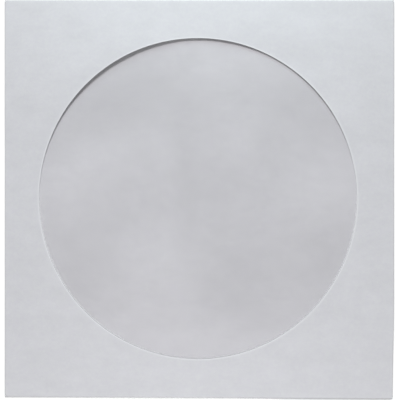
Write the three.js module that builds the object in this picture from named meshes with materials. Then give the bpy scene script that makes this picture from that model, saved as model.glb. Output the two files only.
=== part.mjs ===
import * as THREE from 'three';
import { mergeGeometries, mergeVertices } from 'three/addons/utils/BufferGeometryUtils.js';

// Paper sleeve for one disc, folded from a single die-cut sheet, with clear film behind its
// round window. It lies on its back with the window up: +X is to the right and +Y towards
// the flap fold, seen from the window side. All lengths are in millimetres.

// The disc and the room that the pocket leaves it
const discDiameter = 120;
const discThickness = 1.2;
const discPlayAcross = 4;
const discPlayUp = 7;
const discHeadroom = 0.7;

// The sheet
const paperThickness = 0.15;

// Round window, which leaves the rim of the disc covered
const coveredRim = 9.3;
const windowShiftUp = 0.3;

// Clear film, glued to the inside of the front panel round the window
const filmThickness = 0.05;
const filmOverlap = 6;
const filmGlue = 0.08;

// Side tabs, folded in behind the front panel and glued to the inside of the back panel
const tabWidth = 10;
const tabSetback = 1.6;
const tabTaper = 5;
const tabCornerRadius = 2;
const seamGlue = 0.1;

// Back panel, folded up from the bottom edge over the tabs
const backSetback = 0.8;
const backTaper = 0.4;
const backTopGap = 2;
const backCornerRadius = 4;

// Closing flap, folded down behind the back panel from the top edge
const flapDepth = 34;
const flapSetback = 1.2;
const flapTaper = 3;
const flapCornerRadius = 9;
const flapClearance = 0.1;

// How the folded paper lies
const foldGap = 0.2;
const bulgeFlatness = 4;
const drapeLength = 12;

// Fineness of the surfaces
const stationsPerSide = 28;
const windowRings = 7;
const foldSteps = 4;
const cornerSteps = 4;
const filmSteps = 20;
const tabRows = 2;
const flapRows = 3;
const backLowerRows = 4;
const backDrapeRows = 4;
const backUpperRows = 2;

const sleeveWidth = discDiameter + discPlayAcross;
const sleeveHeight = discDiameter + discPlayUp;
const windowRadius = discDiameter / 2 - coveredRim;
const windowCentre = new THREE.Vector2(0, windowShiftUp);

// Each fold turns the sheet through half a circle round the layers that it encloses
const sideFoldRadius = (foldGap + 2 * paperThickness) / 2;
const bottomFoldRadius = sideFoldRadius + (seamGlue + paperThickness) / 2;
const topFoldRadius = bottomFoldRadius + (flapClearance + paperThickness) / 2;

// Fold lines, where the front panel ends and each half circle begins
const sideLine = sleeveWidth / 2 - sideFoldRadius;
const bottomLine = -sleeveHeight / 2 + bottomFoldRadius;
const topLine = sleeveHeight / 2 - topFoldRadius;
const middleLine = (topLine + bottomLine) / 2;
const halfRun = (topLine - bottomLine) / 2;
const flapEdge = topLine - flapDepth;

// Height of the back panel's outer face: it rides on the flap and drapes down past its edge
function backHeight(y) {
  const rise = THREE.MathUtils.smoothstep(y, flapEdge - drapeLength, flapEdge);
  return (paperThickness + flapClearance) * rise;
}

// Height of the tabs' outer face, one glue line above the back panel
function tabHeight(y) {
  return backHeight(y) + paperThickness + seamGlue;
}

// Height of the front panel's outer face, pressed flat at the folds and bulging between them
function frontHeight(x, y) {
  const across = 1 - Math.abs(x / sideLine) ** bulgeFlatness;
  const along = 1 - Math.abs((y - middleLine) / halfRun) ** bulgeFlatness;
  const bulge = (discThickness + discHeadroom) * across * along;
  return tabHeight(y) + 2 * sideFoldRadius + bulge;
}

// Even steps from one value to another, leaving out the first value
function stepsTo(from, to, count) {
  return Array.from({ length: count }, (_, i) => THREE.MathUtils.lerp(from, to, (i + 1) / count));
}

// The four edges of the front panel, anticlockwise, each with the panel that is folded
// behind it. A panel starts and ends at its setback from the corners.
function edge(start, end, setback, panel) {
  const along = end.clone().sub(start);
  const length = along.length();
  along.normalize();
  const outward = new THREE.Vector2(along.y, -along.x);
  const steps = stepsTo(setback, length - setback, stationsPerSide - 2);
  const stations = [0, setback, ...steps, length];
  return { start, along, outward, length, setback, stations, ...panel };
}

const corners = {
  bottomLeft: new THREE.Vector2(-sideLine, bottomLine),
  bottomRight: new THREE.Vector2(sideLine, bottomLine),
  topRight: new THREE.Vector2(sideLine, topLine),
  topLeft: new THREE.Vector2(-sideLine, topLine),
};

const tab = {
  depth: tabWidth,
  taper: tabTaper,
  cornerRadius: tabCornerRadius,
  foldRadius: sideFoldRadius,
  height: tabHeight,
  rows: stepsTo(0, tabWidth - tabCornerRadius, tabRows),
};

const backDepth = topLine - backTopGap - bottomLine;
const drapeStart = flapEdge - drapeLength - bottomLine;
const drapeEnd = flapEdge - bottomLine;
const back = {
  depth: backDepth,
  taper: backTaper,
  cornerRadius: backCornerRadius,
  foldRadius: bottomFoldRadius,
  height: backHeight,
  rows: [
    ...stepsTo(0, drapeStart, backLowerRows),
    ...stepsTo(drapeStart, drapeEnd, backDrapeRows),
    ...stepsTo(drapeEnd, backDepth - backCornerRadius, backUpperRows),
  ],
};

const flap = {
  depth: flapDepth,
  taper: flapTaper,
  cornerRadius: flapCornerRadius,
  foldRadius: topFoldRadius,
  height: () => 0,
  rows: stepsTo(0, flapDepth - flapCornerRadius, flapRows),
};

const edges = [
  edge(corners.bottomLeft, corners.bottomRight, backSetback, back),
  edge(corners.bottomRight, corners.topRight, tabSetback, tab),
  edge(corners.topRight, corners.topLeft, flapSetback, flap),
  edge(corners.topLeft, corners.bottomLeft, tabSetback, tab),
];

// Point in plan, at a distance along an edge and a distance out from it
function planPoint(side, along, out) {
  return side.start.clone().addScaledVector(side.along, along).addScaledVector(side.outward, out);
}

// Points round the front panel's outline, at every station of its four edges
function outlineRow() {
  return edges.flatMap((side) =>
    side.stations.slice(0, -1).map((station) => {
      const point = planPoint(side, station, 0);
      return new THREE.Vector3(point.x, point.y, frontHeight(point.x, point.y));
    }),
  );
}

// Rows of the front panel, from the rim of the window out to the panel's outline
function frontRows(outline) {
  const rows = [0, ...stepsTo(0, 1, windowRings)].slice(0, -1).map((share) =>
    outline.map((end) => {
      const ray = new THREE.Vector2(end.x, end.y).sub(windowCentre);
      const rim = ray.clone().setLength(windowRadius);
      const point = rim.lerp(ray, share).add(windowCentre);
      return new THREE.Vector3(point.x, point.y, frontHeight(point.x, point.y));
    }),
  );
  return [...rows, outline];
}

// How far each end of a folded panel is drawn in at a given depth: a straight taper, then
// the round of its corner
function endInset(side, depth) {
  const intoCorner = Math.max(0, depth - (side.depth - side.cornerRadius));
  const round = side.cornerRadius - Math.sqrt(Math.max(0, side.cornerRadius ** 2 - intoCorner ** 2));
  return side.taper * depth / side.depth + round;
}

// Rows of a folded panel: round the fold from the front panel's edge, then back underneath
function foldedRows(side, firstRow) {
  const stations = side.stations.slice(1, -1);
  const turn = stepsTo(0, Math.PI, foldSteps).map((angle) =>
    stations.map((station, i) => {
      const point = planPoint(side, station, side.foldRadius * Math.sin(angle));
      const lower = side.height(planPoint(side, station, 0).y);
      const middle = (firstRow[i].z + lower) / 2;
      const half = (firstRow[i].z - lower) / 2;
      return new THREE.Vector3(point.x, point.y, middle + half * Math.cos(angle));
    }),
  );
  const round = stepsTo(0, Math.PI / 2, cornerSteps).map(
    (angle) => side.depth - side.cornerRadius * (1 - Math.sin(angle)),
  );
  const run = side.length - 2 * side.setback;
  const panel = [...side.rows, ...round].map((depth) => {
    const inset = endInset(side, depth);
    return stations.map((station) => {
      const share = (station - side.setback) / run;
      const along = side.setback + THREE.MathUtils.lerp(inset, run - inset, share);
      const point = planPoint(side, along, -depth);
      return new THREE.Vector3(point.x, point.y, side.height(point.y));
    });
  });
  return [firstRow, ...turn, ...panel];
}

// Open surface through rows of points, each row joined to the next
function loft(rows, closed) {
  const width = rows[0].length;
  const positions = rows.flat().flatMap((point) => point.toArray());
  const index = [];
  for (let row = 0; row + 1 < rows.length; row += 1) {
    for (let i = 0; i < (closed ? width : width - 1); i += 1) {
      const a = row * width + i;
      const b = row * width + (i + 1) % width;
      index.push(a, a + width, b + width);
      index.push(a, b + width, b);
    }
  }
  const surface = new THREE.BufferGeometry();
  surface.setAttribute('position', new THREE.Float32BufferAttribute(positions, 3));
  surface.setIndex(index);
  return surface;
}

// Solid sheet from its outer face: the inner face lies one thickness in, and a wall closes
// every free edge
function thicken(surface, thickness) {
  surface.computeVertexNormals();
  const outer = surface.attributes.position;
  const normals = surface.attributes.normal;
  const faces = surface.index.array;
  const positions = [...outer.array];
  const point = new THREE.Vector3();
  const normal = new THREE.Vector3();
  for (let i = 0; i < outer.count; i += 1) {
    point.fromBufferAttribute(outer, i);
    normal.fromBufferAttribute(normals, i);
    positions.push(...point.addScaledVector(normal, -thickness).toArray());
  }
  const index = [];
  const halfEdges = new Map();
  for (let face = 0; face < faces.length; face += 3) {
    const [a, b, c] = faces.slice(face, face + 3);
    index.push(a, b, c);
    index.push(c + outer.count, b + outer.count, a + outer.count);
    for (const [from, to] of [[a, b], [b, c], [c, a]]) {
      halfEdges.set(`${from},${to}`, [from, to]);
    }
  }
  for (const [from, to] of halfEdges.values()) {
    if (!halfEdges.has(`${to},${from}`)) {
      index.push(to, from, from + outer.count);
      index.push(to, from + outer.count, to + outer.count);
    }
  }
  const solid = new THREE.BufferGeometry();
  solid.setAttribute('position', new THREE.Float32BufferAttribute(positions, 3));
  solid.setIndex(index);
  solid.computeVertexNormals();
  return solid;
}

// The folded sheet: the front panel with its window, and the four panels turned behind it
function sleeveSolid() {
  const outline = outlineRow();
  const surfaces = [loft(frontRows(outline), true)];
  edges.forEach((side, i) => {
    const first = i * stationsPerSide + 1;
    const firstRow = outline.slice(first, first + stationsPerSide - 1);
    surfaces.push(loft(foldedRows(side, firstRow), false));
  });
  return thicken(mergeVertices(mergeGeometries(surfaces)), paperThickness);
}

// The film: a square patch that follows the inside of the front panel
function filmSolid() {
  const size = 2 * (windowRadius + filmOverlap);
  const surface = new THREE.PlaneGeometry(size, size, filmSteps, filmSteps);
  surface.translate(windowCentre.x, windowCentre.y, 0);
  const position = surface.attributes.position;
  for (let i = 0; i < position.count; i += 1) {
    const underFront = frontHeight(position.getX(i), position.getY(i)) - paperThickness;
    position.setZ(i, underFront - filmGlue);
  }
  return thicken(surface, filmThickness);
}

const paper = new THREE.MeshStandardMaterial({ color: '#d6d8dc', roughness: 0.85, metalness: 0 });
const film = new THREE.MeshStandardMaterial({
  color: '#eef2f5',
  roughness: 0.1,
  metalness: 0,
  transparent: true,
  opacity: 0.2,
});

const sleeve = new THREE.Group();

const paperSleeve = new THREE.Mesh(sleeveSolid(), paper);
paperSleeve.name = 'paper_sleeve';
sleeve.add(paperSleeve);

const windowFilm = new THREE.Mesh(filmSolid(), film);
windowFilm.name = 'window_film';
sleeve.add(windowFilm);

export default sleeve;
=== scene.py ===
import math

import bmesh
import bpy
import numpy as np
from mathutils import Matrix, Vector


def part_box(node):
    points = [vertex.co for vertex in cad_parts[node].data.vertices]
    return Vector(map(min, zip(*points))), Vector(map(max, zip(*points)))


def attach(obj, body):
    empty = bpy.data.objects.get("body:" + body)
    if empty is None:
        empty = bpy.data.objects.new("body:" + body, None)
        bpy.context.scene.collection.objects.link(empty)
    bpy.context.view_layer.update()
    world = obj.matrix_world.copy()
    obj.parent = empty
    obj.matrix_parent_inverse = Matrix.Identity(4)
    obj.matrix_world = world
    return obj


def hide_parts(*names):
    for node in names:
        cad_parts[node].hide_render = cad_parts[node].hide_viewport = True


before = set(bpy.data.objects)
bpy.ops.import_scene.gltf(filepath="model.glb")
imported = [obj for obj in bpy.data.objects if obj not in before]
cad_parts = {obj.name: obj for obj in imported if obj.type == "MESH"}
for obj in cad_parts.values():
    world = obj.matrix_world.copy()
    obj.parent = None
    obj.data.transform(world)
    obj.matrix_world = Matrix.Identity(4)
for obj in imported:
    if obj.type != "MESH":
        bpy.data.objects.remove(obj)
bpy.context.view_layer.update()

bl_info = {
    "name": "Disc sleeve",
    "version": (1, 0, 0),
    "blender": (4, 5, 0),
    "location": "3D View > Sidebar > Sleeve",
    "description": "Builds a folded paper disc sleeve with a clear film window, and a stage to see it on",
    "category": "Add Mesh",
}

MM = 0.001
paper_low, paper_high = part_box("paper_sleeve")


def length(name, description, default):
    return bpy.props.FloatProperty(
        name=name, description=description, default=default, subtype="DISTANCE", unit="LENGTH", precision=5
    )


def lamp_power(name, description, default):
    return bpy.props.FloatProperty(name=name, description=description, default=default, unit="POWER")


def colour(name, description, default):
    return bpy.props.FloatVectorProperty(
        name=name, description=description, default=default, size=3, min=0, max=1, subtype="COLOR"
    )


class SleeveSizes(bpy.types.PropertyGroup):
    width: length("Width", "Across the sleeve, fold to fold", paper_high[0] - paper_low[0])
    height: length("Height", "From the bottom fold to the flap fold", paper_high[1] - paper_low[1])
    paper: length("Paper", "Thickness of the paper", 0.15 * MM)
    fold_gap: length("Fold gap", "Air left inside a pressed side fold", 0.2 * MM)
    seam_glue: length("Seam glue", "Glue between a tab and the back panel", 0.1 * MM)
    window: length("Window", "Width of the round window", 101.4 * MM)
    window_height: length("Window height", "Height of the window, drawn out by the folds", 102.2 * MM)
    window_left: length("Window left", "How far left of the middle the window was cut", 0.45 * MM)
    window_up: length("Window up", "How far above the middle the window was cut", 0.3 * MM)
    film_overlap: length("Film overlap", "Film glued behind the paper round the window", 6 * MM)
    film: length("Film", "Thickness of the clear film", 0.05 * MM)
    film_glue: length("Film glue", "Glue between the film and the front panel", 0.08 * MM)
    bulge: length("Bulge", "Rise of the front panel's upper half over its folds", 1.25 * MM)
    dome: length("Dome", "Rise of the film in the middle of the window", 1.3 * MM)
    sag: length("Sag", "Fall of the front panel below the window", 0.22 * MM)
    lift: length("Lift", "Extra rise at the upper left of the window", 0.62 * MM)
    waves: length("Waves", "Height of the soft waves in the back panel", 0.55 * MM)
    tab: length("Tab", "Width of the glued side tabs", 10 * MM)
    flap: length("Flap", "Depth of the closing flap", 34 * MM)
    flap_gap: length("Flap gap", "Air between the flap and the back panel", 0.1 * MM)
    drape: length("Drape", "Length over which the back panel comes down past the flap", 12 * MM)
    top_reach: length("Top reach", "How far the flap fold lies past its straight crease", 0.13 * MM)
    slant: length("Slant", "How much lower the bottom fold lies at its right end", 0.6 * MM)
    flare: length("Flare", "How far the back panel shows past the front, low at the right", 0.35 * MM)
    flare_end: length("Flare end", "How far short of the right fold it stops showing", 0.2 * MM)


class SleeveColours(bpy.types.PropertyGroup):
    paper: colour("Paper", "Face of the paper", (0.665, 0.662, 0.685))
    cut_edge: colour("Cut edge", "Raw cut edge of the paper", (0.75, 0.755, 0.77))
    film: colour("Film", "What a film's face lets through", (0.96, 0.956, 0.958))
    haze: colour("Haze", "Faint milkiness of the film", (0.8, 0.81, 0.83))
    floor: colour("Floor", "Table top", (0.75, 0.75, 0.75))


class StageSizes(bpy.types.PropertyGroup):
    lens: bpy.props.FloatProperty(
        name="Lens",
        description="Focal length of the camera",
        default=135,
        subtype="DISTANCE_CAMERA",
        unit="CAMERA",
    )
    view_width: length("View width", "Width that the picture takes in at the sleeve's folds", 127.5 * MM)
    key_power: lamp_power("Key power", "Power of the lamp high beyond the flap fold", 2.1)
    near_power: lamp_power("Near power", "Power of the low lamp near the flap fold", 0.078)
    fill_power: lamp_power("Fill power", "Power of the lamp near the bottom fold", 0.173)
    sky: bpy.props.FloatProperty(name="Sky", description="Strength of the even light all round", default=0.17)


# Shape of the paper. Lengths are in metres, seen from the window side, +Y towards the flap fold.

# Crests and hollows are listed as place and spread in mm, turn in degrees, and height.

# Soft waves in the back panel. Height is a share of the full height
BACK_CRESTS = (
    ((-33, 8), (15, 4.5), 27, 0.7),
    ((-15, -22), (9, 12), 12, 1.0),
    ((-13, 12), (5, 12), 8, 0.7),
    ((13, 22), (8, 11), 0, 0.9),
    ((35, -2), (12, 8), 10, 0.8),
    ((0, -41), (17, 6), 0, 0.45),
    ((-2, 43), (13, 5), 0, 0.3),
    ((26, -33), (7, 5), 30, 0.35),
)

# Painted light and shade in the film's colour, standing in for the soft shading of the back panel's waves and
# the film's reflections: patches that make the window paler, with positive heights, and darker, with negative
# ones
FILM_PAINTED_LIGHT_PATCHES = (
    ((-35, 12), (15, 4.5), 29, 1.0),
    ((-43, 0), (8, 12), 0, 1.3),
    ((-16, -20), (8.5, 15), -6, 1.5),
    ((-10, 14), (4, 9), 6, 0.5),
    ((13, 23), (9, 8), 0, 1.0),
    ((42, 4), (9, 9), 0, 1.9),
    ((8, 44), (14, 5), 0, 1.1),
    ((-4, -46), (28, 7), 0, 1.9),
    ((0, 31), (38, 5), 0, -0.9),
    ((-27, 32), (17, 6), 33, -0.9),
    ((-5, 8), (2.5, 16), 3, -0.9),
    ((3, 2), (6, 12), 0, -0.5),
    ((-26, -5), (15, 4.5), 22, -0.8),
    ((-5, -24), (6, 10), 0, 0.9),
    ((-31, 4), (7, 16), 0, 0.5),
    ((-40, -22), (6, 10), 20, -0.7),
    ((11, -27), (10, 11), 0, -1.2),
    ((41, -17), (9, 8), 20, -0.9),
    ((22, 16), (5, 6), 0, -0.6),
    ((37, 29), (9, 8), 0, -0.7),
)

# Low crests and hollows in the front panel. Height is in mm
FRONT_CRESTS = (
    ((-23, 50), (11, 7), 0, 0.32),
    ((33, 54), (13, 5), 0, 0.5),
    ((24, 45), (9, 6), -30, -0.36),
    ((-46, 39), (8, 5), 35, 0.4),
    ((48, 45), (7, 6), 0, 0.4),
    ((-57, -30), (4, 16), 0, -0.1),
    ((56, -20), (4, 14), 0, -0.1),
)

# Extra rise at the upper left of the window: place, spread and turn
LIFT_PLACE = ((-36, 38), (22, 13), 48)

# The front panel's rise starts and is full at these heights, sooner at the right, and weaker there
BULGE_START, BULGE_FULL, BULGE_TILT = -10 * MM, 46 * MM, 0.2
BULGE_LOSS, BULGE_LOSS_WIDTH = 0.55, 40 * MM
SAG_START, SAG_FULL = 5 * MM, 40 * MM

# How close to the folds the front panel is still free to rise, and to ripple
HOLD_POWER, RIPPLE_EASE = 4, 1.6

# The film's dome, lower towards the flap fold
DOME_POWER, DOME_LOSS, DOME_LOSS_START, DOME_LOSS_FULL = 1.5, 0.6, -10 * MM, 40 * MM

# The back panel's waves die out between these shares of the window's radius
WAVES_FADE, WAVES_END = 0.55, 1.02

# Along the bottom fold the back panel starts to show, shows fully, and stops over a short way
FLARE_START, FLARE_FULL, FLARE_FADE = 5 * MM, 40 * MM, 1 * MM

# Shares of the way out at which an edge starts to leave its straight crease
LOW_START, HIGH_START, RIGHT_START, LEAN_START = 0.8, 0.84, 0.84, 0.5
# Rise of the bottom fold at its middle, its loss towards the right, and the right fold's lean, in slants
SLANT_MIDDLE, SLANT_LOSS, LEAN = 0.6, 0.5, 0.75


def smooth_step(value, start, end):
    share = np.clip((value - start) / (end - start), 0, 1)
    return share * share * (3 - 2 * share)


def mound(x, y, centre, spread, turn=0.0):
    """A smooth rise of height 1, longer along one direction, turned anticlockwise in degrees."""
    angle = math.radians(turn)
    dx, dy = x - centre[0] * MM, y - centre[1] * MM
    along = dx * math.cos(angle) + dy * math.sin(angle)
    across = -dx * math.sin(angle) + dy * math.cos(angle)
    return np.exp(-0.5 * ((along / (spread[0] * MM)) ** 2 + (across / (spread[1] * MM)) ** 2))


def crests(x, y, table):
    return sum(height * mound(x, y, place, spread, turn) for place, spread, turn, height in table)


class Shape:
    """Heights and fold lines of the sleeve, worked out from its sizes."""

    def __init__(self, sizes):
        self.sizes = sizes
        self.side_fold = (sizes.fold_gap + 2 * sizes.paper) / 2
        self.bottom_fold = self.side_fold + (sizes.seam_glue + sizes.paper) / 2
        self.top_fold = self.bottom_fold + (sizes.flap_gap + sizes.paper) / 2
        self.side_line = sizes.width / 2 - self.side_fold
        self.bottom_line = -sizes.height / 2 + self.bottom_fold
        self.top_line = sizes.height / 2 - self.top_fold
        self.middle = (self.top_line + self.bottom_line) / 2
        self.half_run = (self.top_line - self.bottom_line) / 2
        self.flap_edge = self.top_line - sizes.flap
        self.window_centre = np.array([-sizes.window_left, sizes.window_up])
        self.window_half = np.array([sizes.window, sizes.window_height]) / 2

    def rest(self, y):
        """How far the closing flap lifts the panels over it."""
        rise = smooth_step(y, self.flap_edge - self.sizes.drape, self.flap_edge)
        return (self.sizes.paper + self.sizes.flap_gap) * rise

    def from_window(self, x, y):
        """Distance from the window's middle, 1 at its rim."""
        across = (x - self.window_centre[0]) / self.window_half[0]
        up = (y - self.window_centre[1]) / self.window_half[1]
        return np.hypot(across, up)

    def back(self, x, y):
        free = 1 - smooth_step(self.from_window(x, y), WAVES_FADE, WAVES_END)
        return self.rest(y) + self.sizes.waves * crests(x, y, BACK_CRESTS) * free

    def tab(self, x, y):
        return self.rest(y) + self.sizes.paper + self.sizes.seam_glue

    def flap(self, x, y):
        return np.zeros_like(y)

    def front(self, x, y):
        across = 1 - np.clip(np.abs(x / self.side_line), 0, 1) ** HOLD_POWER
        along = 1 - np.clip(np.abs((y - self.middle) / self.half_run), 0, 1) ** HOLD_POWER
        free = across * along
        loose = np.clip(free * RIPPLE_EASE, 0, 1)
        upper = self.sizes.bulge * free * smooth_step(y + BULGE_TILT * x, BULGE_START, BULGE_FULL)
        upper = upper * (1 - BULGE_LOSS * smooth_step(x, 0, BULGE_LOSS_WIDTH))
        lower = self.sizes.sag * loose * smooth_step(-y, SAG_START, SAG_FULL)
        lift = self.sizes.lift * mound(x, y, *LIFT_PLACE) * loose
        small = MM * crests(x, y, FRONT_CRESTS) * loose
        return self.tab(x, y) + 2 * self.side_fold + upper - lower + lift + small

    def film(self, x, y):
        """Outer face of the film: glued under the paper at the rim, a little domed in the window."""
        reach = np.clip(1 - self.from_window(x, y) ** 2, 0, 1)
        under = self.front(x, y) - self.sizes.paper - self.sizes.film_glue
        share = 1 - DOME_LOSS * smooth_step(y, DOME_LOSS_START, DOME_LOSS_FULL)
        return under + self.sizes.dome * reach**DOME_POWER * share

    def flare(self, x):
        """How far the back panel shows past the front along the bottom fold."""
        stop = self.side_line - self.sizes.flare_end
        shown = smooth_step(x, FLARE_START, FLARE_FULL) * (1 - smooth_step(x, stop - FLARE_FADE, stop))
        return self.sizes.flare * shown

    def settle(self, x, y):
        """Moves points in plan to where the hand-folded edges really lie, clear of the window."""
        low = smooth_step(-y, LOW_START * self.half_run, self.half_run)
        high = smooth_step(y, HIGH_START * self.half_run, self.half_run)
        slant = self.sizes.slant * (SLANT_MIDDLE - SLANT_LOSS * x / self.side_line)
        right = smooth_step(x, RIGHT_START * self.side_line, self.side_line)
        lean = LEAN * self.sizes.slant * smooth_step(-y, LEAN_START * self.half_run, self.half_run)
        return x - lean * right, y + low * slant + high * self.sizes.top_reach


# The folds stop this far short of the corners, and only their last stations spread out into them
END_GAP = 0.12 * MM
SPREAD_POWER = 15

# The end of each folded panel is drawn in over its shoulder
SHOULDER_DEPTH = 1.6 * MM

# How far short of the flap fold the back panel stops
BACK_SHORT = 2 * MM

# Fineness of the surfaces
STATIONS = 144
FOLD_STEPS = 10
CORNER_STEPS = 8
SHOULDER_STEPS = (0.15, 0.3, 0.5, 0.75)
RIM_RINGS = (0, 0.004, 0.012, 0.025, 0.05)
PANEL_RINGS = tuple(np.linspace(0.09, 0.95, 16)) + (0.975, 0.99)
FILM_SEGMENTS = 110
WELD_DISTANCE = 1e-8
SHARP_ANGLE = math.radians(50)

# The back panel is pushed out between these turns of the fold, and comes back over this depth
FLARE_TURNS = (0.3 * math.pi, 0.62 * math.pi)
FLARE_DEPTH = 2 * MM

# Wear of a fold: half at its crease, full at its outer turn, fading over a short way
CREASE_WEAR = 0.5
WEAR_FADE = 0.5 * MM

# Paper between the window's rim and a crease, roughly
BORDER = 11 * MM

# A painted highlight on the paper along the window's rim: full up to a little past the cut, then fading
RIM_HIGHLIGHT_WIDTH, RIM_HIGHLIGHT_FULL = 0.5 * MM, 1.2


class SheetEdge:
    """One edge of the front panel, with the panel that is folded behind it."""

    def __init__(self, start, end, shoulder, spread, fold, depth, taper, corner, height, rows, flare):
        self.start = np.array(start)
        run = np.array(end) - self.start
        self.length = float(np.hypot(*run))
        self.along = run / self.length
        self.outward = np.array([self.along[1], -self.along[0]])
        self.shoulder, self.spread, self.fold, self.depth = shoulder, spread, fold, depth
        self.taper, self.corner, self.height, self.rows, self.flare = taper, corner, height, rows, flare
        inner = np.linspace(END_GAP, self.length - END_GAP, STATIONS - 1)
        self.stations = np.concatenate([[0.0], inner, [self.length]])

    def plan(self, along, out):
        along = np.asarray(along, float)
        out = np.broadcast_to(out, along.shape)
        return self.start + along[:, None] * self.along + out[:, None] * self.outward

    def inset_at(self, depth):
        """How far each end of the folded panel is drawn in: a taper, then the round of its corner."""
        into = max(0.0, depth - (self.depth - self.corner))
        shoulder = self.shoulder * math.sqrt(1 - (1 - min(1.0, depth / SHOULDER_DEPTH)) ** 2)
        corner = self.corner - math.sqrt(max(0.0, self.corner**2 - into**2))
        return shoulder + self.taper * depth / self.depth + corner

    def depths(self):
        """Depths of the folded panel's rows, close together at its shoulder and its round corners."""
        near = [SHOULDER_DEPTH * step**2 for step in SHOULDER_STEPS]
        straight = list(np.linspace(SHOULDER_DEPTH, self.depth - self.corner, self.rows))
        turns = np.linspace(0, math.pi / 2, CORNER_STEPS + 1)[1:]
        return near + straight + [self.depth - self.corner * (1 - math.sin(turn)) for turn in turns]


def folded_rows(edge, first_row):
    """Rows of points round a fold, then back underneath, with the wear on each."""
    stations = edge.stations[1:-1]
    foot = edge.plan(stations, 0.0)
    lower = edge.height(foot[:, 0], foot[:, 1])
    rows, wear = [first_row], [np.full(len(stations), CREASE_WEAR)]
    flare = edge.flare(foot[:, 0])
    run = edge.length - 2 * END_GAP
    share = (stations - END_GAP) / run
    middle, half = (first_row[:, 2] + lower) / 2, (first_row[:, 2] - lower) / 2
    for step in range(1, FOLD_STEPS + 1):
        angle = math.pi * step / FOLD_STEPS
        pushed = flare * smooth_step(np.array(angle), *FLARE_TURNS)
        spread = edge.spread * math.sin(angle) * (2 * share - 1) ** SPREAD_POWER
        plan = edge.plan(stations + spread, edge.fold * math.sin(angle) + pushed)
        rows.append(np.column_stack([plan, middle + half * math.cos(angle)]))
        wear.append(np.full(len(stations), CREASE_WEAR + (1 - CREASE_WEAR) * math.sin(angle)))
    for depth in edge.depths():
        inset = edge.inset_at(depth)
        pushed = flare * math.exp(-depth / FLARE_DEPTH)
        plan = edge.plan(END_GAP + inset + (run - 2 * inset) * share, -depth + pushed)
        rows.append(np.column_stack([plan, edge.height(plan[:, 0], plan[:, 1])]))
        wear.append(np.full(len(stations), CREASE_WEAR * math.exp(-depth / WEAR_FADE)))
    return rows, wear


def loft(bm, wear_layer, rows, wear, closed):
    """Faces between rows of points."""
    made = []
    for points, values in zip(rows, wear):
        line = []
        for point, value in zip(points, values):
            vert = bm.verts.new(point)
            vert[wear_layer] = float(value)
            line.append(vert)
        made.append(line)
    width = len(made[0])
    for inner, outer in zip(made, made[1:]):
        for i in range(width if closed else width - 1):
            j = (i + 1) % width
            bm.faces.new((inner[i], outer[i], outer[j], inner[j]))


def sheet_edges(shape):
    sizes = shape.sizes
    left, right, low, high = -shape.side_line, shape.side_line, shape.bottom_line, shape.top_line
    ends = dict(spread=shape.side_fold + END_GAP)
    tab = dict(shoulder=1.6 * MM, spread=0.0, fold=shape.side_fold, depth=sizes.tab)
    tab.update(taper=5 * MM, corner=2 * MM, height=shape.tab, rows=6, flare=np.zeros_like)
    back = dict(shoulder=0.8 * MM, fold=shape.bottom_fold, depth=high - BACK_SHORT - low, **ends)
    back.update(taper=0.4 * MM, corner=4 * MM, height=shape.back, rows=72, flare=shape.flare)
    flap = dict(shoulder=1.2 * MM, fold=shape.top_fold, depth=sizes.flap, **ends)
    flap.update(taper=3 * MM, corner=9 * MM, height=shape.flap, rows=14, flare=np.zeros_like)
    return (
        SheetEdge((left, low), (right, low), **back),
        SheetEdge((right, low), (right, high), **tab),
        SheetEdge((right, high), (left, high), **flap),
        SheetEdge((left, high), (left, low), **tab),
    )


def front_rows(shape, outline):
    """Rows of the front panel from the window's rim out to its outline, close together near both."""
    ray = outline[:, :2] - shape.window_centre
    rim = ray / np.hypot(ray[:, 0], ray[:, 1])[:, None] * shape.window_half
    rows, wear = [], []
    for share in RIM_RINGS + PANEL_RINGS:
        plan = shape.window_centre + rim + (ray - rim) * share
        rows.append(np.column_stack([plan, shape.front(plan[:, 0], plan[:, 1])]))
        wear.append(np.full(len(plan), CREASE_WEAR * math.exp(-(1 - share) * BORDER / WEAR_FADE)))
    return rows + [outline], wear + [np.full(len(outline), CREASE_WEAR)]


def build_folded_sheet(name, sizes):
    """The whole blank as one open sheet: front panel, tabs, back panel and flap."""
    shape = Shape(sizes)
    edges = sheet_edges(shape)
    plan = np.concatenate([edge.plan(edge.stations[:-1], 0.0) for edge in edges])
    outline = np.column_stack([plan, shape.front(plan[:, 0], plan[:, 1])])
    bm = bmesh.new()
    wear_layer = bm.verts.layers.float.new("fold_wear")
    rim_highlight_layer = bm.verts.layers.float.new("painted_rim_highlight")
    loft(bm, wear_layer, *front_rows(shape, outline), True)
    # The painted highlight along the window's rim, kept for the paper's colour
    for vert in bm.verts:
        past_rim = (shape.from_window(vert.co.x, vert.co.y) - 1) * sizes.window / 2
        vert[rim_highlight_layer] = max(0.0, min(1.0, RIM_HIGHLIGHT_FULL - past_rim / RIM_HIGHLIGHT_WIDTH))
    for i, edge in enumerate(edges):
        first_row = outline[i * STATIONS + 1 : (i + 1) * STATIONS]
        loft(bm, wear_layer, *folded_rows(edge, first_row), False)
    bmesh.ops.remove_doubles(bm, verts=bm.verts, dist=WELD_DISTANCE)
    for vert in bm.verts:
        vert.co.x, vert.co.y = shape.settle(vert.co.x, vert.co.y)
    return mesh_piece(name, bm)


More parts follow.
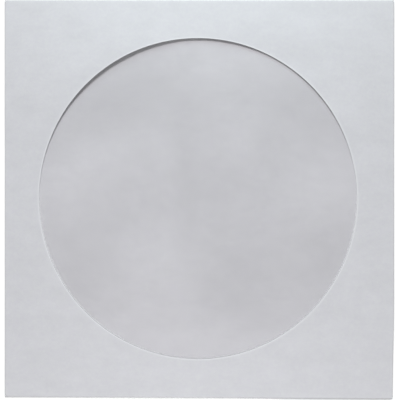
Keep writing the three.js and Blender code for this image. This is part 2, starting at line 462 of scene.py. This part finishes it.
def build_film(name, sizes):
    """The square of film as an open sheet, with its painted light and shade at each point."""
    shape = Shape(sizes)
    bm = bmesh.new()
    half = sizes.window / 2 + sizes.film_overlap
    bmesh.ops.create_grid(bm, x_segments=FILM_SEGMENTS, y_segments=FILM_SEGMENTS, size=half)
    painted_patch_layer = bm.verts.layers.float.new("painted_light_patches")
    for vert in bm.verts:
        x, y = vert.co.x - sizes.window_left, vert.co.y + sizes.window_up
        vert.co = (x, y, float(shape.film(np.array(x), np.array(y))))
        vert[painted_patch_layer] = float(crests(x, y, FILM_PAINTED_LIGHT_PATCHES))
    return mesh_piece(name, bm)


def mesh_piece(name, bm):
    mesh = bpy.data.meshes.new(name)
    bm.to_mesh(mesh)
    bm.free()
    piece = bpy.data.objects.new(name, mesh)
    bpy.context.scene.collection.objects.link(piece)
    return piece


def thicken(piece, thickness, rim_slot):
    """Gives an open sheet its thickness inwards and keeps its cut edges sharp."""
    solidify = piece.modifiers.new("Thickness", "SOLIDIFY")
    solidify.thickness = thickness
    solidify.offset = -1
    solidify.use_even_offset = False
    solidify.material_offset_rim = rim_slot
    solid = bpy.data.meshes.new_from_object(piece.evaluated_get(bpy.context.evaluated_depsgraph_get()))
    piece.modifiers.clear()
    piece.data = solid
    solid.shade_smooth()
    solid.set_sharp_from_angle(angle=SHARP_ANGLE)


# Materials

WHITE = (1.0, 1.0, 1.0)

# Values of the noise textures lie mostly between these
NOISE_LOW, NOISE_HIGH = 0.3, 0.7
SCRATCH_LOW, SCRATCH_HIGH = 0.35, 0.75
RAGGED_LOW, RAGGED_HIGH = 0.8, 1.3

# Scales of the textures are in features per metre
PAPER_CLOUDS = 190.0
PAPER_MOTTLE = 900.0
PAPER_FIBRES = 2600.0
EDGE_FIBRES = 6000.0
FILM_DRIFT = 45.0
FILM_SCRATCHES = 900.0
FLOOR_GRAIN = 400.0

# The lower a scale on one axis, the longer the clouds, fibres or scratches lie along it. Turns in radians
CLOUD_STRETCH = (0.6, 1.0, 1.0)
FIBRE_STRETCH = (1.0, 0.22, 1.0)
FIBRE_TURNS = (0.35, 1.45, 2.6)
SCRATCH_STRETCH, SCRATCH_TURN = (1.0, 0.05, 1.0), 0.5

# Shares of the paper's own colour: in its clouds, its warm specks, its painted highlight along the window's
# rim and its worn folds
CLOUD_TONES = (0.966, 1.034)
WARM = (1.006, 0.997, 0.992)
SPECK_TONE = 0.985
RIM_HIGHLIGHT_TONE = 1.12
WORN_TONE = 1.05
RAGGED_TONE = 0.9

# Roughness at the low and the high end of each surface's noise
PAPER_ROUGHNESS = (0.78, 0.9)
EDGE_ROUGHNESS = (0.88, 0.97)
FILM_ROUGHNESS = (0.17, 0.24)

# Shares of the film's own colour where its painted shade and where its painted light are full
FILM_TONES = (0.978, 1.022)
FULL_PAINTED_SHADE, FULL_PAINTED_LIGHT, DRIFT_SHARE = -1.6, 2.4, 0.8
FILM_HAZE = (0.01, 0.025)
FILM_IOR = 1.45

# Width and haze of a ring of glue haze that is painted light, lightening the shade line along the rim; it
# starts at one height in the window and is full at the other
GLUE_AND_PAINTED_LIGHT_WIDTH, GLUE_AND_PAINTED_LIGHT_HAZE = 0.5 * MM, 0.45
GLUE_AND_PAINTED_LIGHT_TOP, GLUE_AND_PAINTED_LIGHT_FULL = 4 * MM, -12 * MM

FLOOR_GLOW, FLOOR_SHADE = 0.36, 0.99


def add_node(tree, kind, inputs=None, **settings):
    """A new shader node. Each input is another node's output, a plain value, or None to leave it."""
    node = tree.nodes.new(kind)
    for name, value in settings.items():
        setattr(node, name, value)
    for key, value in (inputs or {}).items():
        socket = node.inputs[key]
        if isinstance(value, bpy.types.NodeSocket):
            tree.links.new(value, socket)
        elif socket.type == "RGBA":
            socket.default_value = (*value, 1.0)
        elif value is not None:
            socket.default_value = value
    return node


def math_node(tree, operation, *values, clamp=False):
    node = add_node(tree, "ShaderNodeMath", dict(enumerate(values)), operation=operation, use_clamp=clamp)
    return node.outputs[0]


def vector_math(tree, operation, *values):
    return add_node(tree, "ShaderNodeVectorMath", dict(enumerate(values)), operation=operation).outputs


def mapping(tree, vector, stretch, turn=0.0):
    inputs = {"Vector": vector, "Rotation": (0.0, 0.0, turn), "Scale": stretch}
    return add_node(tree, "ShaderNodeMapping", inputs).outputs["Vector"]


def noise(tree, vector, scale, detail=2.0, roughness=0.5, distortion=0.0):
    inputs = {"Vector": vector, "Scale": scale, "Detail": detail}
    inputs.update({"Roughness": roughness, "Distortion": distortion})
    return add_node(tree, "ShaderNodeTexNoise", inputs).outputs["Fac"]


def attribute(tree, name):
    return add_node(tree, "ShaderNodeAttribute", attribute_name=name).outputs["Fac"]


def object_place(tree):
    return add_node(tree, "ShaderNodeTexCoord").outputs["Object"]


def map_range(tree, value, low, high, to_low, to_high):
    inputs = {"Value": value, "From Min": low, "From Max": high, "To Min": to_low, "To Max": to_high}
    return add_node(tree, "ShaderNodeMapRange", inputs).outputs["Result"]


def mix_colour(tree, factor, first, second, blend="MIX"):
    inputs = {"Factor": factor, "A": first, "B": second}
    return add_node(tree, "ShaderNodeMix", inputs, data_type="RGBA", blend_type=blend).outputs["Result"]


def mix_shader(tree, factor, first, second):
    return add_node(tree, "ShaderNodeMixShader", {0: factor, 1: first, 2: second}).outputs["Shader"]


def bump(tree, height, strength, distance):
    inputs = {"Strength": strength, "Distance": distance, "Height": height}
    return add_node(tree, "ShaderNodeBump", inputs).outputs["Normal"]


def scaled(tone, amount):
    return tuple(min(1.0, value * amount) for value in tone)


def group_socket(group, name, kind, side, default=None):
    socket = group.interface.new_socket(name=name, in_out=side, socket_type=kind)
    if default is not None:
        socket.default_value = default


def fibre_group():
    """Cloudy formation, fine mottle and lying fibres of paper: a tint, a mottle mask and a height."""
    name = "Paper fibres"
    if name in bpy.data.node_groups:
        return bpy.data.node_groups[name]
    group = bpy.data.node_groups.new(name, "ShaderNodeTree")
    group_socket(group, "Vector", "NodeSocketVector", "INPUT")
    group_socket(group, "Cloud size", "NodeSocketFloat", "INPUT", PAPER_CLOUDS)
    group_socket(group, "Fibre size", "NodeSocketFloat", "INPUT", PAPER_FIBRES)
    for output in ("Tint", "Mottle", "Height"):
        group_socket(group, output, "NodeSocketFloat", "OUTPUT")
    source = add_node(group, "NodeGroupInput").outputs
    place = source["Vector"]

    # The fibres lie mostly across the sleeve, so the clouds are longer that way
    across = mapping(group, place, CLOUD_STRETCH)
    clouds = noise(group, across, source["Cloud size"], detail=5.0, roughness=0.68)
    mottle = noise(group, place, PAPER_MOTTLE, detail=3.0, roughness=0.6)
    layers = []
    for turn in FIBRE_TURNS:
        lie = mapping(group, place, FIBRE_STRETCH, turn)
        layers.append(noise(group, lie, source["Fibre size"], distortion=0.6))
    felt = math_node(group, "MAXIMUM", math_node(group, "MAXIMUM", layers[0], layers[1]), layers[2])
    height = math_node(group, "ADD", felt, mottle)
    add_node(group, "NodeGroupOutput", {"Tint": clouds, "Mottle": mottle, "Height": height})
    return group


def fibres_at(tree, place, **sizes):
    return add_node(tree, "ShaderNodeGroup", {"Vector": place, **sizes}, node_tree=fibre_group()).outputs


def new_material(name):
    material = bpy.data.materials.new(name)
    material.use_nodes = True
    material.node_tree.nodes.clear()
    return material, material.node_tree


def paper_material(colours):
    material, tree = new_material("Sleeve paper")
    tone = tuple(colours.paper)
    fibres = fibres_at(tree, object_place(tree))
    clouds = map_range(tree, fibres["Tint"], NOISE_LOW, NOISE_HIGH, 0.0, 1.0)
    base = mix_colour(tree, clouds, *(scaled(tone, amount) for amount in CLOUD_TONES))
    mottle = map_range(tree, fibres["Mottle"], NOISE_LOW, NOISE_HIGH, 0.0, 1.0)
    warm = [value * share for value, share in zip(tone, WARM)]
    speck = mix_colour(tree, mottle, scaled([value / max(tone) for value in warm], SPECK_TONE), WHITE)
    speckled = mix_colour(tree, 1.0, base, speck, blend="MULTIPLY")
    # A painted highlight makes the paper a little paler along the window's rim
    with_rim_highlight = mix_colour(tree, attribute(tree, "painted_rim_highlight"), speckled, scaled(tone, RIM_HIGHLIGHT_TONE))
    scuff = math_node(tree, "MULTIPLY", attribute(tree, "fold_wear"), fibres["Mottle"])
    surface = {
        "Base Color": mix_colour(tree, scuff, with_rim_highlight, scaled(tone, WORN_TONE)),
        "Roughness": map_range(tree, fibres["Mottle"], NOISE_LOW, NOISE_HIGH, *PAPER_ROUGHNESS),
        "Normal": bump(tree, fibres["Height"], strength=0.35, distance=0.02 * MM),
        "Sheen Weight": 0.08,
        "Specular IOR Level": 0.3,
    }
    paper = add_node(tree, "ShaderNodeBsdfPrincipled", surface).outputs["BSDF"]
    add_node(tree, "ShaderNodeOutputMaterial", {"Surface": paper})
    return material


def cut_edge_material(colours):
    material, tree = new_material("Cut paper edge")
    tone = tuple(colours.cut_edge)
    fibres = fibres_at(tree, object_place(tree), **{"Fibre size": EDGE_FIBRES})
    ragged = map_range(tree, fibres["Height"], RAGGED_LOW, RAGGED_HIGH, 0.0, 1.0)
    surface = {
        "Base Color": mix_colour(tree, ragged, scaled(tone, RAGGED_TONE), tone),
        "Roughness": map_range(tree, fibres["Mottle"], NOISE_LOW, NOISE_HIGH, *EDGE_ROUGHNESS),
        "Normal": bump(tree, fibres["Height"], strength=0.6, distance=0.03 * MM),
        "Specular IOR Level": 0.2,
    }
    edge = add_node(tree, "ShaderNodeBsdfPrincipled", surface).outputs["BSDF"]
    add_node(tree, "ShaderNodeOutputMaterial", {"Surface": edge})
    return material


def window_reach(tree, place, sizes):
    """Distance from the window's axis, as if the window were a full circle."""
    from_axis = vector_math(tree, "SUBTRACT", place, (-sizes.window_left, sizes.window_up, 0.0))["Vector"]
    flat = vector_math(tree, "MULTIPLY", from_axis, (1.0, sizes.window / sizes.window_height, 0.0))["Vector"]
    return vector_math(tree, "LENGTH", flat)["Value"]


def film_material(colours, sizes):
    """Clear film: light goes straight through, with a glossy reflection and a trace of haze on each face."""
    material, tree = new_material("Clear film")
    tone = tuple(colours.film)
    place = object_place(tree)
    drift = noise(tree, place, FILM_DRIFT, detail=1.0)
    scratches = noise(tree, mapping(tree, place, SCRATCH_STRETCH, SCRATCH_TURN), FILM_SCRATCHES)

    # Painted light and shade: the listed patches, with a share of random drift, make the film's colour paler
    # and darker
    drift_and_painted_patches = math_node(tree, "MULTIPLY_ADD", drift, DRIFT_SHARE, attribute(tree, "painted_light_patches"))
    painted_paleness_and_drift = map_range(tree, drift_and_painted_patches, FULL_PAINTED_SHADE, FULL_PAINTED_LIGHT, 0.0, 1.0)
    let_through = mix_colour(tree, painted_paleness_and_drift, *(scaled(tone, amount) for amount in FILM_TONES))
    clear = add_node(tree, "ShaderNodeBsdfTransparent", {"Color": let_through}).outputs["BSDF"]

    # Only the outer faces shine, and diffuse and shadow rays go straight through
    roughness = map_range(tree, scratches, SCRATCH_LOW, SCRATCH_HIGH, *FILM_ROUGHNESS)
    gloss = add_node(tree, "ShaderNodeBsdfGlossy", {"Roughness": roughness}).outputs["BSDF"]
    bounce = add_node(tree, "ShaderNodeFresnel", {"IOR": FILM_IOR}).outputs["Fac"]
    path = add_node(tree, "ShaderNodeLightPath").outputs
    passing = math_node(tree, "MAXIMUM", path["Is Diffuse Ray"], path["Is Shadow Ray"])
    seen = math_node(tree, "SUBTRACT", 1.0, passing)
    inside = add_node(tree, "ShaderNodeNewGeometry").outputs["Backfacing"]
    outside = math_node(tree, "SUBTRACT", seen, inside, clamp=True)
    shine = mix_shader(tree, math_node(tree, "MULTIPLY", bounce, outside), clear, gloss)

    # A narrow ring of glue haze just inside the rim, below the middle only, is painted light: it lightens the
    # thin shade line along the lower rim
    radius = sizes.window / 2
    ring = map_range(tree, window_reach(tree, place, sizes), radius - GLUE_AND_PAINTED_LIGHT_WIDTH, radius, 0.0, GLUE_AND_PAINTED_LIGHT_HAZE)
    up = add_node(tree, "ShaderNodeSeparateXYZ", {"Vector": place}).outputs["Y"]
    glue = math_node(tree, "MULTIPLY", ring, map_range(tree, up, GLUE_AND_PAINTED_LIGHT_TOP, GLUE_AND_PAINTED_LIGHT_FULL, 0.0, 1.0))
    drift_haze_and_painted_light = math_node(tree, "ADD", map_range(tree, drift, NOISE_LOW, NOISE_HIGH, *FILM_HAZE), glue)
    milk = add_node(tree, "ShaderNodeBsdfDiffuse", {"Color": colours.haze}).outputs["BSDF"]
    film = mix_shader(tree, math_node(tree, "MULTIPLY", drift_haze_and_painted_light, seen), shine, milk)
    add_node(tree, "ShaderNodeOutputMaterial", {"Surface": film})
    return material


def seen_rays(tree):
    """1 for rays that come from the camera, a mirror or glass, else 0."""
    path = add_node(tree, "ShaderNodeLightPath").outputs
    seen = math_node(tree, "MAXIMUM", path["Is Camera Ray"], path["Is Glossy Ray"])
    return math_node(tree, "MAXIMUM", seen, path["Is Transmission Ray"])


def floor_material(colours):
    material, tree = new_material("White table")
    tone = tuple(colours.floor)
    grain = mix_colour(tree, noise(tree, None, FLOOR_GRAIN), scaled(tone, FLOOR_SHADE), tone)
    top = add_node(tree, "ShaderNodeBsdfDiffuse", {"Color": grain}).outputs["BSDF"]
    none = add_node(tree, "ShaderNodeEmission", {"Strength": 0.0}).outputs["Emission"]
    glow = add_node(tree, "ShaderNodeEmission", {"Strength": FLOOR_GLOW}).outputs["Emission"]
    lit = mix_shader(tree, seen_rays(tree), none, glow)
    both = add_node(tree, "ShaderNodeAddShader", {0: top, 1: lit}).outputs["Shader"]
    add_node(tree, "ShaderNodeOutputMaterial", {"Surface": both})
    return material


# Stage. Places are in metres

KEY_LAMP = dict(place=(-0.03, 0.3, 0.5), aim=(0, 0, 0), size=0.12, tone=WHITE)
NEAR_LAMP = dict(place=(0.01, 0.16, 0.09), aim=(0, 0.02, 0), size=0.08, tone=(0.78, 1.0, 1.0))
FILL_LAMP = dict(place=(0.005, -0.17, 0.13), aim=(0, -0.02, 0), size=0.16, tone=(0.98, 1.0, 1.0))
FLOOR_HALF = 3.0
FLOOR_DROP = 0.02 * MM
SENSOR_WIDTH = 36.0
CAMERA_SHIFT = (0.17 * MM, -0.08 * MM)
FOLD_LEVEL = 0.5 * MM
CLIP = (0.01, 20.0)


def area_lamp(name, power, place, aim, size, tone):
    data = bpy.data.lights.new(name, "AREA")
    data.color = tone
    data.shape = "DISK"
    data.size = size
    data.energy = power
    lamp = bpy.data.objects.new(name, data)
    lamp.location = place
    lamp.rotation_euler = (Vector(aim) - Vector(place)).to_track_quat("-Z", "Y").to_euler()
    lamp.visible_camera = False
    bpy.context.scene.collection.objects.link(lamp)
    return lamp


def even_light(strength):
    world = bpy.data.worlds.new("Even light")
    world.use_nodes = True
    tree = world.node_tree
    tree.nodes.clear()
    sky = add_node(tree, "ShaderNodeBackground", {"Strength": strength}).outputs["Background"]
    white = add_node(tree, "ShaderNodeBackground", {"Color": WHITE}).outputs["Background"]
    add_node(tree, "ShaderNodeOutputWorld", {"Surface": mix_shader(tree, seen_rays(tree), sky, white)})
    return world


def camera_above(lens, view_width):
    data = bpy.data.cameras.new("Camera")
    data.lens = lens
    data.sensor_width = SENSOR_WIDTH
    data.clip_start, data.clip_end = CLIP
    camera = bpy.data.objects.new("Camera", data)
    camera.location = (*CAMERA_SHIFT, lens / SENSOR_WIDTH * view_width + FOLD_LEVEL)
    bpy.context.scene.collection.objects.link(camera)
    return camera


# Operators


class BuildPaperSleeve(bpy.types.Operator):
    """Fold the paper sleeve: front panel with its window, tabs, back panel and closing flap"""

    bl_idname = "disc_sleeve.build_paper"
    bl_label = "Build paper sleeve"

    def execute(self, context):
        sizes, colours = context.scene.sleeve_sizes, context.scene.sleeve_colours
        piece = build_folded_sheet("folded_paper", sizes)
        piece.data.materials.append(paper_material(colours))
        piece.data.materials.append(cut_edge_material(colours))
        thicken(piece, sizes.paper, 1)
        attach(piece, "root")
        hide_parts("paper_sleeve")
        return {"FINISHED"}


class BuildWindowFilm(bpy.types.Operator):
    """Lay the clear film behind the window, following the inside of the front panel"""

    bl_idname = "disc_sleeve.build_film"
    bl_label = "Build window film"

    def execute(self, context):
        sizes, colours = context.scene.sleeve_sizes, context.scene.sleeve_colours
        piece = build_film("clear_window", sizes)
        piece.data.materials.append(film_material(colours, sizes))
        thicken(piece, sizes.film, 0)
        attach(piece, "root")
        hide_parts("window_film")
        return {"FINISHED"}


class BuildStage(bpy.types.Operator):
    """Set the white table, the lamps, the even light all round and the camera above"""

    bl_idname = "disc_sleeve.build_stage"
    bl_label = "Build stage"

    def execute(self, context):
        scene = context.scene
        stage = scene.sleeve_stage
        bm = bmesh.new()
        bmesh.ops.create_grid(bm, x_segments=4, y_segments=4, size=FLOOR_HALF)
        floor = mesh_piece("table_top", bm)
        floor.location.z = -FLOOR_DROP
        floor.data.materials.append(floor_material(scene.sleeve_colours))

        area_lamp("Key", stage.key_power, **KEY_LAMP)
        area_lamp("Near", stage.near_power, **NEAR_LAMP).visible_glossy = False
        area_lamp("Fill", stage.fill_power, **FILL_LAMP)
        scene.world = even_light(stage.sky)
        scene.camera = camera_above(stage.lens, stage.view_width)
        scene.view_settings.view_transform = "Standard"
        return {"FINISHED"}


class SleevePanel(bpy.types.Panel):
    bl_idname = "VIEW3D_PT_disc_sleeve"
    bl_label = "Disc sleeve"
    bl_space_type = "VIEW_3D"
    bl_region_type = "UI"
    bl_category = "Sleeve"

    def draw(self, context):
        for operator in (BuildPaperSleeve, BuildWindowFilm, BuildStage):
            self.layout.operator(operator.bl_idname)
        for group in (context.scene.sleeve_sizes, context.scene.sleeve_colours, context.scene.sleeve_stage):
            box = self.layout.box()
            for name in group.__annotations__:
                box.prop(group, name)


CLASSES = (
    SleeveSizes,
    SleeveColours,
    StageSizes,
    BuildPaperSleeve,
    BuildWindowFilm,
    BuildStage,
    SleevePanel,
)


def register():
    for cls in CLASSES:
        bpy.utils.register_class(cls)
    bpy.types.Scene.sleeve_sizes = bpy.props.PointerProperty(type=SleeveSizes)
    bpy.types.Scene.sleeve_colours = bpy.props.PointerProperty(type=SleeveColours)
    bpy.types.Scene.sleeve_stage = bpy.props.PointerProperty(type=StageSizes)


def unregister():
    del bpy.types.Scene.sleeve_stage
    del bpy.types.Scene.sleeve_colours
    del bpy.types.Scene.sleeve_sizes
    for cls in reversed(CLASSES):
        bpy.utils.unregister_class(cls)


def main():
    register()
    bpy.ops.disc_sleeve.build_paper()
    bpy.ops.disc_sleeve.build_film()
    bpy.ops.disc_sleeve.build_stage()


if __name__ == "__main__":
    main()
